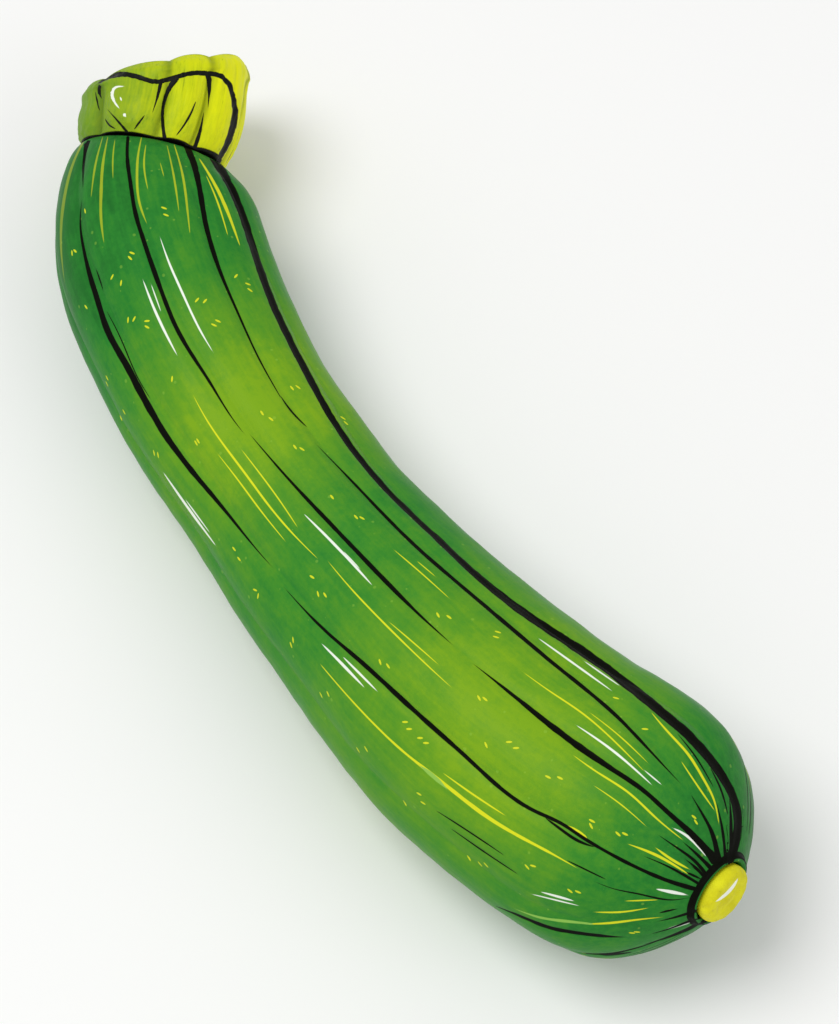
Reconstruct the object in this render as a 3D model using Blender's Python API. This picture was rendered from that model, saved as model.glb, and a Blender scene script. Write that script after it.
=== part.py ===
# A long, gently curved zucchini lying on its side: the ribbed fruit, its cut stem and its blossom scar.
#
# The fruit lies along X with the stem at -X and the blossom end at +X, and bows towards -Y.
# The origin is on the floor under the middle of its box, with +Z up.
# Every form follows one curved axis. A point is given by its distance along the axis from the stem's
# seat, negative in the stem, by its radius from the axis, both in mm, and by its angle in degrees from
# the top towards +Y. An outline is a row of points, each a distance and a radius.
import math

import bmesh
import bpy
import numpy as np

MM = 0.001

# The fruit's axis, as x, y and z in mm, from the stem's seat to just inside the blossom scar.
AXIS_STATIONS = (
    (-84.0, 7.4, 22.2),
    (-76.4, 2.5, 21.0),
    (-67.9, -1.4, 20.2),
    (-52.2, -6.4, 19.8),
    (-32.2, -9.8, 18.9),
    (-12.2, -11.2, 18.6),
    (8.8, -11.9, 19.8),
    (30.8, -11.3, 21.9),
    (51.8, -9.3, 23.7),
    (69.6, -5.1, 24.7),
    (82.8, -1.0, 26.1),
    (92.4, 1.3, 27.9),
    (98.8, 2.6, 29.4),
)

# The skin, from the stem's seat to the rim of the scar.
SKIN_OUTLINE = (
    (-0.2, 13.3),
    (1.2, 14.8),
    (4.6, 16.8),
    (11.0, 19.0),
    (22.0, 20.3),
    (38.0, 20.3),
    (58.0, 19.6),
    (76.0, 19.4),
    (97.0, 20.6),
    (119.0, 22.7),
    (140.0, 24.5),
    (156.0, 24.9),
    (168.0, 25.0),
    (178.0, 22.7),
    (185.6, 16.0),
    (190.0, 9.6),
    (191.2, 7.3),
)
SKIN_RINGS = 44

# The valleys between the ribs run from end to end. Four on top have their own course, as angles at even
# steps from the stem to the scar, and the others share out the rest of the way round.
VALLEY_COURSES = (
    (-48.0, -45.0, -43.0, -35.0, -34.0),
    (-13.0, -10.0, -7.0, -3.0, -6.0),
    (25.0, 20.0, 19.0, 24.0, 8.0),
    (48.0, 55.0, 39.0, 36.0, 43.0),
)
OTHER_VALLEYS = 6
OTHER_VALLEYS_SWAY = 2.5
COLUMNS_PER_RIB = 8
RIB_HEIGHT = 0.8
RIB_WIDTH_AT_FULL_HEIGHT = 32.0
RIB_CROWN_POWER = 2.2
RIB_FADE_AT_STEM = 6.0
RIB_FADE_AT_SCAR = 14.0

# The seat and the stem's cut end lie aslant: how much further along the axis each is on its +Y side and
# at its top.
SEAT_SLANT = (2.6, 1.6)
SEAT_SLANT_REACH = 24.0
CUT_SLANT = (-3.0, 4.0)
SLANTED_RADIUS = 13.3

# The dish in the fruit, and the stem's root, which fills it.
DISH_OUTLINE = ((2.0, 0.0), (2.0, 6.0), (2.0, 11.0), (0.1, 11.6))
STEM_ROOT_OUTLINE = ((-0.4, 11.0), (1.7, 10.6), (1.7, 0.0))

# The stem, from its root to its cut end. Its creases are given by their angles.
STEM_LENGTH = 17.0
STEM_OUTLINE = (
    (-0.65, 13.7),
    (-2.6, 14.7),
    (-5.6, 15.7),
    (-9.2, 16.2),
    (-12.8, 16.2),
    (-16.2, 16.0),
    (-18.0, 14.8),
)
STEM_RINGS = 13
CUT_FACE_OUTLINE = ((-17.7, 12.8), (-16.8, 8.8), (-16.3, 4.8), (-15.9, 2.0), (-15.9, 0.0))
STEM_CREASES = (-48.0, 6.0, 37.0, 88.0, 140.0, 193.0, 250.0)
STEM_COLUMNS_PER_LOBE = 8
STEM_CREASE_DEPTH = 1.8
STEM_CREASE_AT_BASE = 0.12
STEM_SCALLOP = 0.8
STEM_LEAN = 2.6

# The rim and socket in the fruit's end, and the blossom scar, a low button in the socket.
SOCKET_OUTLINE = ((192.0, 6.9), (192.2, 6.3), (191.8, 5.8), (190.1, 5.8), (190.1, 0.0))
SCAR_OUTLINE = (
    (190.5, 0.0),
    (190.5, 5.2),
    (192.0, 5.5),
    (193.2, 5.4),
    (194.0, 4.7),
    (194.2, 3.6),
    (193.9, 1.9),
    (194.2, 0.8),
    (194.3, 0.0),
)
SCAR_COLUMNS = 30

FULL_TURN = 360.0
SHARP_EDGE = 50.0

# Linear red, green and blue, and the roughness, of each material.
SKIN_COLOUR = (0.065, 0.283, 0.037)
SKIN_ROUGHNESS = 0.3
STEM_COLOUR = (0.40, 0.52, 0.02)
STEM_ROUGHNESS = 0.5
SCAR_COLOUR = (0.70, 0.69, 0.02)
SCAR_ROUGHNESS = 0.6


def spline(at, values):
    """A natural cubic curve through values, one at each number of at, as a function of that number."""
    at = np.asarray(at, float)
    values = np.asarray(values, float)
    gap = np.diff(at)
    count = len(at)
    left = np.eye(count)
    right = np.zeros_like(values)
    for i in range(1, count - 1):
        left[i, i - 1 : i + 2] = gap[i - 1], 2 * (gap[i - 1] + gap[i]), gap[i]
        rise = (values[i + 1] - values[i]) / gap[i] - (values[i] - values[i - 1]) / gap[i - 1]
        right[i] = 6 * rise
    bend = np.linalg.solve(left, right)

    def value(x):
        i = int(np.clip(np.searchsorted(at, x, side="right") - 1, 0, count - 2))
        h = gap[i]
        a = (at[i + 1] - x) / h
        b = (x - at[i]) / h
        curved = (a**3 - a) * bend[i] + (b**3 - b) * bend[i + 1]
        return a * values[i] + b * values[i + 1] + curved * h * h / 6

    return value


def chord_lengths(points):
    """How far along the straight lines between them each point lies."""
    steps = np.linalg.norm(np.diff(np.asarray(points, float), axis=0), axis=1)
    return np.concatenate([[0.0], np.cumsum(steps)])


AXIS_AT = chord_lengths(AXIS_STATIONS)
AXIS_LENGTH = AXIS_AT[-1]
axis_curve = spline(AXIS_AT, AXIS_STATIONS)


def axis_frame(along):
    """The axis point at this distance, and the sideways and upward directions there.

    Past its ends the axis runs straight on.
    """
    inside = min(max(along, 0.0), AXIS_LENGTH)
    reach = 0.5
    tangent = axis_curve(min(inside + reach, AXIS_LENGTH)) - axis_curve(max(inside - reach, 0.0))
    tangent /= np.linalg.norm(tangent)
    side = np.cross((0.0, 0.0, 1.0), tangent)
    side /= np.linalg.norm(side)
    up = np.cross(tangent, side)
    return axis_curve(inside) + tangent * (along - inside), side, up


def slant_at(along):
    """How far an outline is slid along the axis on its +Y side and at its top."""
    seat = np.array(SEAT_SLANT)
    if along >= 0:
        return seat * max(0.0, 1 - along / SEAT_SLANT_REACH) ** 2
    return seat + (np.array(CUT_SLANT) - seat) * min(1.0, -along / STEM_LENGTH)


def body_point(along, radius, degrees):
    """The place of the point at this distance, radius and angle, in mm."""
    angle = math.radians(degrees)
    aslant = slant_at(along) @ (math.sin(angle), math.cos(angle))
    slid = along + aslant * min(1.0, radius / SLANTED_RADIUS)
    centre, side, up = axis_frame(slid)
    height = min(1.0, max(0.0, -along / STEM_LENGTH))
    lean = STEM_LEAN * height * (2 - height)
    return centre + side * (radius * math.sin(angle) + lean) + up * (radius * math.cos(angle))


def valley_angles(along):
    """The angles of all the valleys at this distance, rising, with the first repeated a turn on."""
    share = np.clip(along / AXIS_LENGTH, 0.0, 1.0)
    steps = np.linspace(0.0, 1.0, len(VALLEY_COURSES[0]))
    own = [float(spline(steps, course)(share)) for course in VALLEY_COURSES]
    others = np.linspace(own[-1], own[0] + FULL_TURN, OTHER_VALLEYS + 2)[1:]
    for i in range(OTHER_VALLEYS):
        others[i] += OTHER_VALLEYS_SWAY * math.sin(2 * math.pi * (share + i / 3))
    return own + list(others)


def in_lobe(edges, column, per_lobe):
    """The angle of a column of vertices, and its place across its lobe from 0 to 1."""
    lobe, step = divmod(column, per_lobe)
    across = step / per_lobe
    return edges[lobe] + across * (edges[lobe + 1] - edges[lobe]), across


def crown(across):
    """0 in the valleys at both edges of a lobe and 1 on its crown."""
    return 1 - abs(2 * across - 1) ** RIB_CROWN_POWER


def valley_depth(edges, valley):
    """How deep a valley is, as a share. It is shallower where the ribs beside it are narrow."""
    widths = np.diff(edges)
    between = (widths[(valley - 1) % len(widths)] + widths[valley % len(widths)]) / 2
    return min(1.0, between / RIB_WIDTH_AT_FULL_HEIGHT)


def skin_point(along, radius, column):
    """A point of the ribbed skin. The ribs die away towards both ends."""
    edges = valley_angles(along)
    degrees, across = in_lobe(edges, column, COLUMNS_PER_RIB)
    nearest_valley = round(column / COLUMNS_PER_RIB)
    fade = min(1.0, along / RIB_FADE_AT_STEM, (AXIS_LENGTH - along) / RIB_FADE_AT_SCAR)
    depth = RIB_HEIGHT * max(0.0, fade) * valley_depth(edges, nearest_valley)
    return body_point(along, radius - depth * (1 - crown(across)), degrees)


def smooth_outline(stations, count):
    """count points evenly spaced on the smooth curve through the stations."""
    at = chord_lengths(stations)
    curve = spline(at, stations)
    return [tuple(curve(x)) for x in np.linspace(0.0, at[-1], count)]


def closed_form(name, rings, columns, point_at, material, collection):
    """A closed body from a UV sphere, whose vertex in ring i and column j moves to point_at(rings[i], j)."""
    mesh = bpy.data.meshes.new(name)
    sphere = bmesh.new()
    bmesh.ops.create_uvsphere(sphere, u_segments=columns, v_segments=len(rings) - 1, radius=1.0)
    for vertex in sphere.verts:
        polar = math.acos(max(-1.0, min(1.0, vertex.co.z)))
        ring = round(polar / math.pi * (len(rings) - 1))
        turn = math.atan2(vertex.co.y, vertex.co.x) / (2 * math.pi)
        column = round(turn * columns) % columns
        x, y, z = point_at(rings[ring], column)
        vertex.co = (x * MM, y * MM, max(0.0, z) * MM)
    sphere.to_mesh(mesh)
    sphere.free()
    mesh.shade_smooth()
    mesh.set_sharp_from_angle(angle=math.radians(SHARP_EDGE))
    body = bpy.data.objects.new(name, mesh)
    body.data.materials.append(material)
    collection.objects.link(body)
    return body


def finish(name, colour, roughness):
    """A Principled material of one colour."""
    material = bpy.data.materials.new(name)
    material.use_nodes = True
    shader = material.node_tree.nodes["Principled BSDF"]
    shader.inputs["Base Color"].default_value = (*colour, 1.0)
    shader.inputs["Roughness"].default_value = roughness
    shader.inputs["Metallic"].default_value = 0.0
    return material


def make_fruit(collection):
    """The fruit: the dish for the stem, the ribbed skin, and the rim and socket for the scar."""
    rings = [*DISH_OUTLINE, *smooth_outline(SKIN_OUTLINE, SKIN_RINGS), *SOCKET_OUTLINE]

    def point_at(ring, column):
        return skin_point(*ring, column)

    columns = (len(VALLEY_COURSES) + OTHER_VALLEYS) * COLUMNS_PER_RIB
    skin = finish("skin", SKIN_COLOUR, SKIN_ROUGHNESS)
    return closed_form("fruit", rings, columns, point_at, skin, collection)


def make_stem(collection):
    """The stem: its root in the dish, bulging lobes with creases between them, and the cut end."""
    edges = [*STEM_CREASES, STEM_CREASES[0] + FULL_TURN]
    outside = smooth_outline(STEM_OUTLINE, STEM_RINGS)
    rings = [*CUT_FACE_OUTLINE[::-1], *outside[::-1], *STEM_ROOT_OUTLINE]
    collar_radius = STEM_OUTLINE[-1][1]

    def point_at(ring, column):
        along, radius = ring
        degrees, across = in_lobe(edges, column, STEM_COLUMNS_PER_LOBE)
        height = min(1.0, max(0.0, -along / STEM_LENGTH))
        lobed = math.sqrt(math.sin(math.pi * min(1.0, height + STEM_CREASE_AT_BASE)))
        if along > STEM_OUTLINE[0][0]:
            lobed = 0.0
        reach = min(1.0, radius / collar_radius)
        crease = STEM_CREASE_DEPTH * lobed * (1 - crown(across)) * reach**2
        scallop = STEM_SCALLOP * height**3 * (crown(across) - 0.5) * reach**2
        return body_point(along - scallop, radius - crease, degrees)

    columns = len(STEM_CREASES) * STEM_COLUMNS_PER_LOBE
    material = finish("stem", STEM_COLOUR, STEM_ROUGHNESS)
    return closed_form("stem", rings, columns, point_at, material, collection)


def make_scar(collection):
    """The blossom scar: the low round button that the flower left."""

    def point_at(ring, column):
        return body_point(*ring, column * FULL_TURN / SCAR_COLUMNS)

    material = finish("blossom_scar", SCAR_COLOUR, SCAR_ROUGHNESS)
    return closed_form("blossom_scar", SCAR_OUTLINE, SCAR_COLUMNS, point_at, material, collection)


def main():
    for obj in list(bpy.data.objects):
        bpy.data.objects.remove(obj)
    collection = bpy.data.collections.new("zucchini")
    bpy.context.scene.collection.children.link(collection)
    holder = bpy.data.objects.new("zucchini", None)
    collection.objects.link(holder)
    for make in (make_fruit, make_stem, make_scar):
        make(collection).parent = holder


main()
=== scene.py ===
import math

import bpy
import numpy as np
from mathutils import Matrix, Vector
from mathutils.bvhtree import BVHTree


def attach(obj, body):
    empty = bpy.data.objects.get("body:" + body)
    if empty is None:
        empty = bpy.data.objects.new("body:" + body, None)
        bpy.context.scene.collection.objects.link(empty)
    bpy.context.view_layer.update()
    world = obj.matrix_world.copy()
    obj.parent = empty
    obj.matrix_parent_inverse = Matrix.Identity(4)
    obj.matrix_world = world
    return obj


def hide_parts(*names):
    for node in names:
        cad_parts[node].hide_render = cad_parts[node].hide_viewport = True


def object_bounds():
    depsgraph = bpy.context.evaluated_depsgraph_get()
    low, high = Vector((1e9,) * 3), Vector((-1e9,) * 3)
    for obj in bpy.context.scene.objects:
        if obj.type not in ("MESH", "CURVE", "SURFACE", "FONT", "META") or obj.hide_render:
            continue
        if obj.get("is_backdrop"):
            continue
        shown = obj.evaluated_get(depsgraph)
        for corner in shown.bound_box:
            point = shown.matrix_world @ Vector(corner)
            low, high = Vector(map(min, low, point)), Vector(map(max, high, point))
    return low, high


MM = 0.001
FULL_TURN = 360.0

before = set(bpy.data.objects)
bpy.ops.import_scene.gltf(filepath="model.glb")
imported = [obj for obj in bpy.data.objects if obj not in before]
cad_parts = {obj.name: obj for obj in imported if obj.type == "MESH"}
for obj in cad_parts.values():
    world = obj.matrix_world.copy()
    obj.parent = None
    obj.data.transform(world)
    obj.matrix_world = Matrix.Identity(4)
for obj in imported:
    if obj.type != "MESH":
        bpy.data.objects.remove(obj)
cad_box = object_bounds()

# The picture: its size, and what its camera looks at.
PICTURE_SIZE = np.array((839, 1024))
CAMERA_AZIMUTH = math.radians(55.0)
CAMERA_ELEVATION = math.radians(62.0)
CAMERA_DISTANCE = 700.0
MM_PER_PIXEL = 0.183
TARGET = (5.8, 3.9, 24.0)
TARGET_PIXEL = (403, 502)
SENSOR = 36.0
CLIP_METRES = (0.01, 20.0)

# The fruit's axis and outlines, as in the part's source.
AXIS_STATIONS = (
    (-84.0, 7.4, 22.2), (-76.4, 2.5, 21.0), (-67.9, -1.4, 20.2), (-52.2, -6.4, 19.8), (-32.2, -9.8, 18.9),
    (-12.2, -11.2, 18.6), (8.8, -11.9, 19.8), (30.8, -11.3, 21.9), (51.8, -9.3, 23.7), (69.6, -5.1, 24.7),
    (82.8, -1.0, 26.1), (92.4, 1.3, 27.9), (98.8, 2.6, 29.4),
)
SKIN_OUTLINE = (
    (-0.2, 13.3), (1.2, 14.8), (4.6, 16.8), (11.0, 19.0), (22.0, 20.3), (38.0, 20.3), (58.0, 19.6),
    (76.0, 19.4), (97.0, 20.6), (119.0, 22.7), (140.0, 24.5), (156.0, 24.9), (168.0, 25.0), (178.0, 22.7),
    (185.6, 16.0), (190.0, 9.6), (191.2, 7.3),
)
DISH_OUTLINE = ((2.0, 0.0), (2.0, 6.0), (2.0, 11.0), (0.1, 11.6), (-0.2, 13.3))
SOCKET_OUTLINE = ((191.2, 7.3), (192.0, 6.9), (192.2, 6.3), (191.8, 5.8), (190.1, 5.8), (190.1, 0.0))
STEM_ROOT_OUTLINE = ((-0.65, 13.7), (-0.4, 11.0), (1.7, 10.6), (1.7, 0.0))
STEM_OUTLINE = (
    (-0.65, 13.7), (-2.6, 14.7), (-5.6, 15.7), (-9.2, 16.2), (-12.8, 16.2), (-16.2, 16.0), (-18.0, 14.8),
)
CUT_FACE_OUTLINE = ((-18.0, 14.8), (-17.7, 12.8), (-16.8, 8.8), (-16.3, 4.8), (-15.9, 2.0), (-15.9, 0.0))
SCAR_SIDE_OUTLINE = ((190.5, 0.0), (190.5, 5.2), (192.0, 5.5))
SCAR_TOP_OUTLINE = (
    (192.0, 5.5), (193.2, 5.4), (194.0, 4.7), (194.2, 3.6), (193.9, 1.9), (194.2, 0.8), (194.3, 0.0),
)

# Ribs, slants and lobes, as in the part's source.
VALLEY_COURSES = (
    (-48.0, -45.0, -43.0, -35.0, -34.0),
    (-13.0, -10.0, -7.0, -3.0, -6.0),
    (25.0, 20.0, 19.0, 24.0, 8.0),
    (48.0, 55.0, 39.0, 36.0, 43.0),
)
OTHER_VALLEYS = 6
OTHER_VALLEYS_SWAY = 2.5
RIB_HEIGHT = 0.8
RIB_WIDTH_AT_FULL_HEIGHT = 32.0
RIB_CROWN_POWER = 2.2
RIB_FADE_AT_STEM = 6.0
RIB_FADE_AT_SCAR = 14.0
SEAT_SLANT = (2.6, 1.6)
SEAT_SLANT_REACH = 24.0
CUT_SLANT = (-3.0, 4.0)
SLANTED_RADIUS = 13.3
STEM_LENGTH = 17.0
STEM_CREASES = (-48.0, 6.0, 37.0, 88.0, 140.0, 193.0, 250.0)
STEM_CREASE_DEPTH = 1.8
STEM_CREASE_AT_BASE = 0.12
STEM_SCALLOP = 0.8
STEM_LEAN = 2.6

# How finely the meshes are divided, and how far columns crowd towards a valley, from 0 to 1.
AXIS_LOOK = 0.5
RING_STEP = 0.6
COLUMNS_PER_RIB = 24
STEM_RING_STEP = 0.22
STEM_COLUMNS_PER_LOBE = 48
SCAR_RING_STEP = 0.12
SCAR_COLUMNS = 160
CROWDING = 0.35

# Waves in the surfaces: how long, how high, how many directions they run in, and the seed.
BROAD_WAVES = (24.0, 0.13, 14, 0)
SMALL_WAVES = (6.0, 0.035, 14, 1)
WAVES_FADE = 8.0
STEM_WAVES = (7.0, 0.14, 14, 9)
STEM_RIDGES = (1.1, 0.06, 40, 5)
STEM_FINE_RIDGES = (0.5, 0.03, 40, 6)
STEM_STRETCH = 9.0
STEM_WAVES_FROM = 0.6
STEM_WAVES_FADE = 2.0
SCAR_WAVES = (1.6, 0.07, 30, 15)
SCAR_WAVES_FADE = 1.5
WAVE_LENGTH_SHARES = (0.7, 1.5)

# Strokes seen in the picture: the width and then the points, in pixels. A stroke with one width tapers to
# both ends, and one with several has them at even steps.
DARK_STROKES = (
    # In the valley that is highest in the picture.
    ((9, 7.4, 7.2, 6.8, 6.2, 5.6, 4.8, 5.8, 7.8, 8.8, 8.8, 8.6, 8, 8), (213, 157), (231, 188), (252, 244),
     (274, 306), (305, 369), (334, 421), (397, 500), (435, 536), (479, 577), (539, 623), (591, 657),
     (652, 704), (699, 746), (719, 771), (733, 796), (738, 822), (736, 840), (729, 862)),
    # In the next one.
    ((7, 5.3, 4.9, 3.6, 2.2, 1.8, 0.8), (187, 146), (194, 163), (204, 212), (219, 267), (237, 310),
     (261, 362), (280, 396)),
    (2, (280, 395), (290, 409), (307, 427)),
    ((0, 2.5, 3.4, 3.4, 3.8, 3.6, 3.5, 3, 0), (313, 441), (360, 489), (412, 542), (460, 584), (512, 628),
     (560, 668), (614, 713), (658, 759), (683, 786)),
    # In the one after it.
    ((3, 4.1, 4.5, 4.6, 4.4, 3.7, 2, 0), (128, 134), (127, 156), (130, 181), (135, 212), (142, 236),
     (162, 293), (179, 333), (209, 381), (235, 422), (247, 437)),
    ((0, 2, 3.2, 4, 4.3, 3.9, 2.2, 0), (248, 432), (286, 476), (331, 524), (378, 573), (421, 616),
     (455, 647)),
    ((0, 2.8, 5, 6.4, 4.8, 3.9, 5, 9), (471, 662), (517, 698), (565, 736), (614, 770), (642, 789),
     (668, 812), (690, 832), (716, 861)),
    # In the lowest one.
    ((8, 3.4, 2.2, 0), (89, 134), (85, 150), (83, 167), (83, 191)),
    ((0, 2.8, 4.9, 6, 6.8, 6.8, 6.4, 5.3, 3.5, 1.8, 0), (82, 198), (80, 224), (83, 249), (89, 275),
     (97, 301), (108, 333), (123, 360), (142, 396), (181, 458), (224, 510), (263, 557), (275, 570)),
    (1.4, (106, 310), (117, 331), (127, 354), (137, 377), (151, 400)),
    (1.4, (96, 269), (103, 290)),
    ((0, 2.8, 4.2, 4.6, 4.1, 3.8, 3.4, 2.9, 3.4, 4.5), (282, 585), (324, 630), (355, 657), (412, 709),
     (469, 760), (534, 811), (560, 823), (580, 836), (603, 850), (646, 872), (668, 881), (698, 890)),
    (2.8, (545, 818), (560, 829), (578, 841), (594, 847)),
    # Round the scar.
    ((0, 2.5, 4, 6), (690, 793), (701, 811), (712, 832), (719, 862)),
    ((0, 2.5, 3), (716, 800), (722, 826), (726, 862)),
    (1.8, (710, 767), (721, 789), (728, 815)),
    (1.4, (677, 733), (694, 754), (714, 788)),
    ((0, 3, 4), (729, 791), (731, 815), (731, 858)),
    ((0, 2.5, 3.8), (657, 834), (679, 849), (697, 863), (707, 876)),
    ((0, 3, 4), (682, 841), (699, 856), (712, 869)),
    ((0, 2.8, 3.2), (685, 859), (695, 867), (706, 879)),
    ((0, 1.8, 3), (641, 855), (669, 867), (699, 884)),
    (2.2, (686, 872), (701, 879)),
    ((0, 1, 1.8, 0), (589, 879), (614, 889), (638, 894), (673, 900), (692, 897)),
    (1.8, (659, 913), (677, 909)),
    ((0, 1.8, 3), (655, 922), (673, 918), (696, 911)),
    ((0, 1.6, 3.6), (647, 935), (669, 929), (700, 917)),
    ((0, 2.4, 4), (640, 946), (669, 937), (703, 922)),
    ((0, 2.4, 3.4, 3.2, 2.8, 0), (493, 905), (521, 917), (549, 928), (582, 934), (614, 937), (627, 937)),
    (1.8, (590, 954), (610, 955), (633, 952)),
    (1.4, (450, 828), (484, 852), (519, 875)),
    (1.4, (435, 810), (469, 832), (505, 856)),
    (1.4, (566, 860), (584, 869), (607, 880)),
)
YELLOW_STROKES = (
    # Along the middle.
    (2.5, (193, 395), (205, 417), (226, 448), (247, 476), (270, 507), (295, 536), (318, 559)),
    (1.8, (217, 453), (238, 480), (261, 511), (286, 542)),
    (1.8, (241, 449), (261, 475), (280, 501), (298, 528)),
    (2, (327, 560), (347, 584), (374, 613), (403, 642), (427, 665), (452, 688)),
    (1.5, (388, 621), (408, 638), (439, 665)),
    (1.5, (393, 549), (420, 572), (450, 599)),
    (1.2, (417, 561), (436, 577)),
    ((0.8, 1.6, 2.2, 2.6, 4, 4.4, 4, 3, 0), (321, 665), (345, 693), (374, 724), (405, 753), (433, 775),
     (467, 802), (495, 822), (528, 841), (556, 856), (580, 870)),
    (2, (443, 773), (471, 793), (506, 816)),
    ((0, 4, 5, 3), (566, 825), (576, 831), (585, 837)),
    # By the stem.
    ((2, 3.4, 3.6, 2.4, 0), (86, 136), (76, 156), (67, 184), (62, 215), (61, 246), (65, 286)),
    (2.4, (103, 136), (96, 162), (91, 198)),
    (4, (108, 136), (103, 163), (101, 194), (101, 218), (104, 243)),
    (2, (115, 139), (113, 156), (113, 179)),
    (3.5, (142, 135), (138, 156), (137, 177), (139, 201), (147, 224)),
    (2.5, (146, 144), (144, 163), (148, 190)),
    (1.5, (160, 162), (164, 177)),
    (2.5, (167, 145), (173, 172), (179, 212)),
    (3, (174, 144), (182, 172), (187, 206), (190, 234)),
    (4, (199, 158), (213, 181), (226, 208), (240, 246)),
    (2, (206, 175), (216, 198), (228, 236)),
    # By the scar.
    (2, (523, 672), (551, 692), (582, 713), (610, 737), (645, 772)),
    (1.4, (589, 712), (616, 733), (649, 764)),
    (2.5, (573, 755), (597, 772), (629, 793), (655, 817), (683, 840)),
    (1.4, (593, 785), (619, 803), (647, 827)),
    (3, (651, 712), (669, 733), (688, 754), (703, 778), (714, 800), (719, 824)),
    (2, (681, 761), (697, 785), (715, 811)),
    (3, (628, 844), (658, 856), (688, 874)),
    (3, (656, 848), (671, 859), (689, 869)),
    (1.5, (625, 901), (658, 900)),
    (2, (594, 912), (621, 912), (648, 908)),
    ((1.6, 2.5, 2, 0), (590, 924), (610, 923), (635, 920), (664, 917)),
)
PALE_STROKES = (
    ((0, 3.8, 3.8, 0), (419, 765), (433, 776), (448, 790)),
    ((0, 2, 2.5, 1.6), (513, 908), (538, 917), (564, 921), (592, 924)),
)
# Painted highlights: the picture's glints on the skin, laid as pale strokes along the ribs.
HIGHLIGHT_STROKES = (
    (2.2, (160, 237), (168, 260), (182, 292), (200, 330), (213, 352)),
    (2.5, (143, 280), (151, 301), (163, 328), (177, 355)),
    (1.2, (151, 284), (161, 312)),
    (2.2, (163, 472), (186, 505), (216, 546)),
    (1.2, (185, 499), (210, 533)),
    (2.5, (304, 514), (336, 546), (372, 585)),
    (1.2, (343, 551), (360, 569)),
    (2.5, (322, 644), (343, 665), (364, 687)),
    (2, (343, 657), (377, 691)),
    (1.8, (538, 638), (573, 663), (612, 691)),
    (1.4, (584, 661), (620, 686)),
    (2, (576, 725), (612, 750), (652, 785)),
    (1.2, (644, 770), (662, 785)),
    (2.5, (673, 828), (686, 835), (706, 856)),
    (3, (656, 889), (687, 895)),
    (2, (541, 892), (574, 901)),
    (1.2, (531, 894), (580, 906)),
    (2, (665, 930), (692, 922)),
)
STEM_DARK_STROKES = (
    ((3.4, 4.8, 4.6, 4.4, 4.4, 4.6, 4.6, 4.6, 5, 5.2, 5.2, 5.2), (102, 80), (106, 78), (118, 74), (136, 76),
     (156, 81), (175, 77), (191, 73), (209, 73), (221, 76), (230, 85), (234, 99), (236, 114), (233, 128),
     (227, 144), (218, 161)),
    ((4, 2.4, 0), (161, 80), (157, 98), (152, 114)),
    ((6, 4, 3, 3, 4), (177, 77), (168, 91), (163, 108), (163, 125), (165, 139)),
    ((6, 4, 1.6, 0), (209, 74), (210, 89), (209, 100), (208, 110)),
    (2, (196, 101), (188, 119), (176, 136)),
    ((0, 3, 5), (204, 111), (200, 132), (194, 151)),
    ((3, 3, 0), (99, 86), (99, 92), (102, 99)),
    (1.6, (95, 91), (97, 101), (100, 111)),
    ((0, 1.6, 3), (106, 108), (116, 119), (127, 132)),
    (1.8, (145, 115), (140, 122), (134, 130)),
    (1.6, (104, 118), (109, 125), (116, 129)),
)
# Painted highlights on the stem.
STEM_HIGHLIGHT_STROKES = (
    (2.5, (124, 86), (113, 89), (112, 94), (120, 109)),
    (1.6, (120, 97), (122, 101)),
    (3.5, (124, 114), (126, 117)),
)
# A painted highlight on the scar.
SCAR_HIGHLIGHT_STROKES = ((3, (715, 902), (725, 895), (734, 885), (738, 878)),)

# The middles of the small yellow dashes in the picture, in pixels, by the way they slope.
STEEP_DASHES = (
    (72, 253), (292, 388), (262, 413), (295, 447), (332, 497), (356, 517), (318, 594), (438, 615),
    (291, 645), (380, 662), (479, 698), (358, 750), (486, 745), (405, 803), (469, 858), (480, 864),
    (591, 826), (346, 423),
)
FALLING_DASHES = (
    (85, 211), (130, 258), (298, 387), (271, 419), (121, 418), (196, 443), (198, 441), (302, 449),
    (362, 518), (325, 595), (449, 617), (388, 666), (321, 695), (328, 694), (485, 699), (366, 749),
    (618, 834), (486, 865), (527, 867), (570, 891), (696, 822),
)
SHALLOW_DASHES = (
    (164, 208), (166, 215), (132, 253), (75, 251), (250, 290), (86, 307), (147, 327), (218, 321),
    (214, 325), (107, 378), (107, 384), (343, 418), (124, 412), (234, 549), (239, 559), (312, 577),
    (498, 632), (496, 637), (616, 698), (548, 777), (560, 778), (592, 821), (625, 834), (578, 892),
    (632, 933), (637, 932), (694, 817),
)
LEVEL_DASHES = (
    (248, 284), (147, 321), (255, 590), (405, 722), (409, 729), (509, 742), (516, 748), (419, 794),
    (423, 803), (645, 729), (533, 866), (420, 738), (426, 743),
)
RISING_DASHES = ((112, 277), (236, 276), (197, 300), (205, 301), (134, 319), (258, 596))
UPRIGHT_DASHES = ((128, 320), (172, 379), (154, 453), (158, 455), (121, 283), (293, 640))
DASH_SLOPES = (
    (STEEP_DASHES, -62.0),
    (FALLING_DASHES, -45.0),
    (SHALLOW_DASHES, -27.0),
    (LEVEL_DASHES, -3.0),
    (RISING_DASHES, 55.0),
    (UPRIGHT_DASHES, 88.0),
)
DASH_HALF_SIZE = (0.64, 0.22)

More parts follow.
